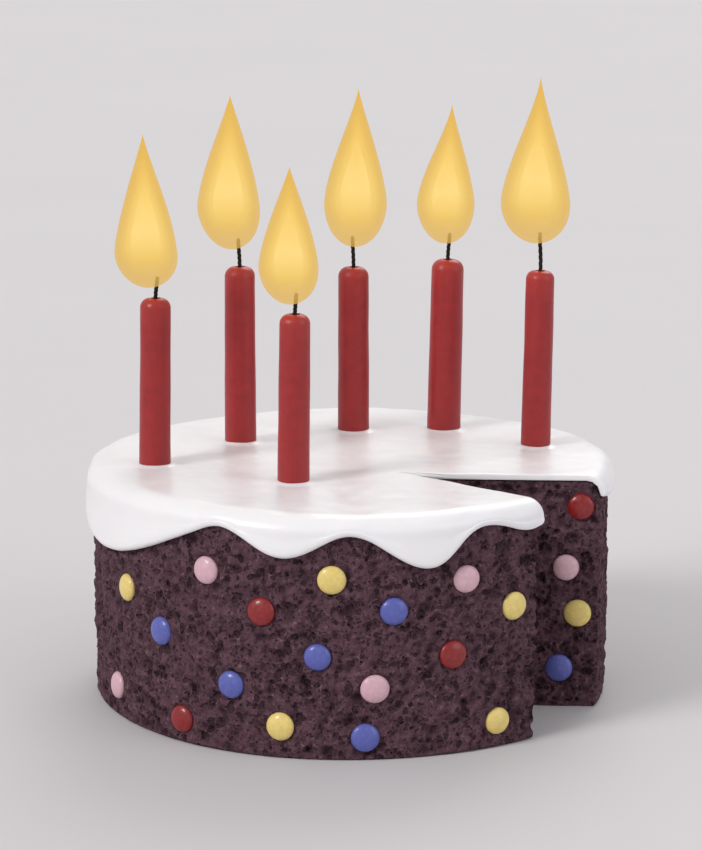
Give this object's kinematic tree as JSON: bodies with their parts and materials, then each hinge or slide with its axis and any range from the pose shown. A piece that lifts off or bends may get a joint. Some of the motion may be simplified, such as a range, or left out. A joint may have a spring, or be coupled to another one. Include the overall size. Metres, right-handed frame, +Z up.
{
  "type": "birthday cake with candles",
  "caption": "Round chocolate cake with poured white icing, coloured sweets on its side, a slice cut out and lit candles standing in its top.",
  "frame": {"origin": "on the cake's axis, in the plane that it stands on", "axes": "+Z up, along the cake's axis; the cake's front faces -Y, and +X is to its right seen from there; the missing slice opens towards +X and -Y"},
  "size_m": [0.2049, 0.205, 0.2385],
  "materials": {
    "sponge": "dark chocolate sponge with an open, dry crumb; the sweets set in it are yellow, pink, red and blue",
    "icing": "poured white sugar icing, set, with a soft gloss",
    "candle_wax": "dyed red candle wax, slightly translucent",
    "wick": "charred braided cotton",
    "flame": "glowing golden yellow candle flame"
  },
  "bodies": {
    "root": {"sponge": "sponge", "icing": "icing", "candle_1": "candle_wax", "candle_2": "candle_wax", "candle_3": "candle_wax", "candle_4": "candle_wax", "candle_5": "candle_wax", "candle_6": "candle_wax", "wick_1": "wick", "wick_2": "wick", "wick_3": "wick", "wick_4": "wick", "wick_5": "wick", "wick_6": "wick", "flame_1": "flame", "flame_2": "flame", "flame_3": "flame", "flame_4": "flame", "flame_5": "flame", "flame_6": "flame"}
  },
  "joints": []
}
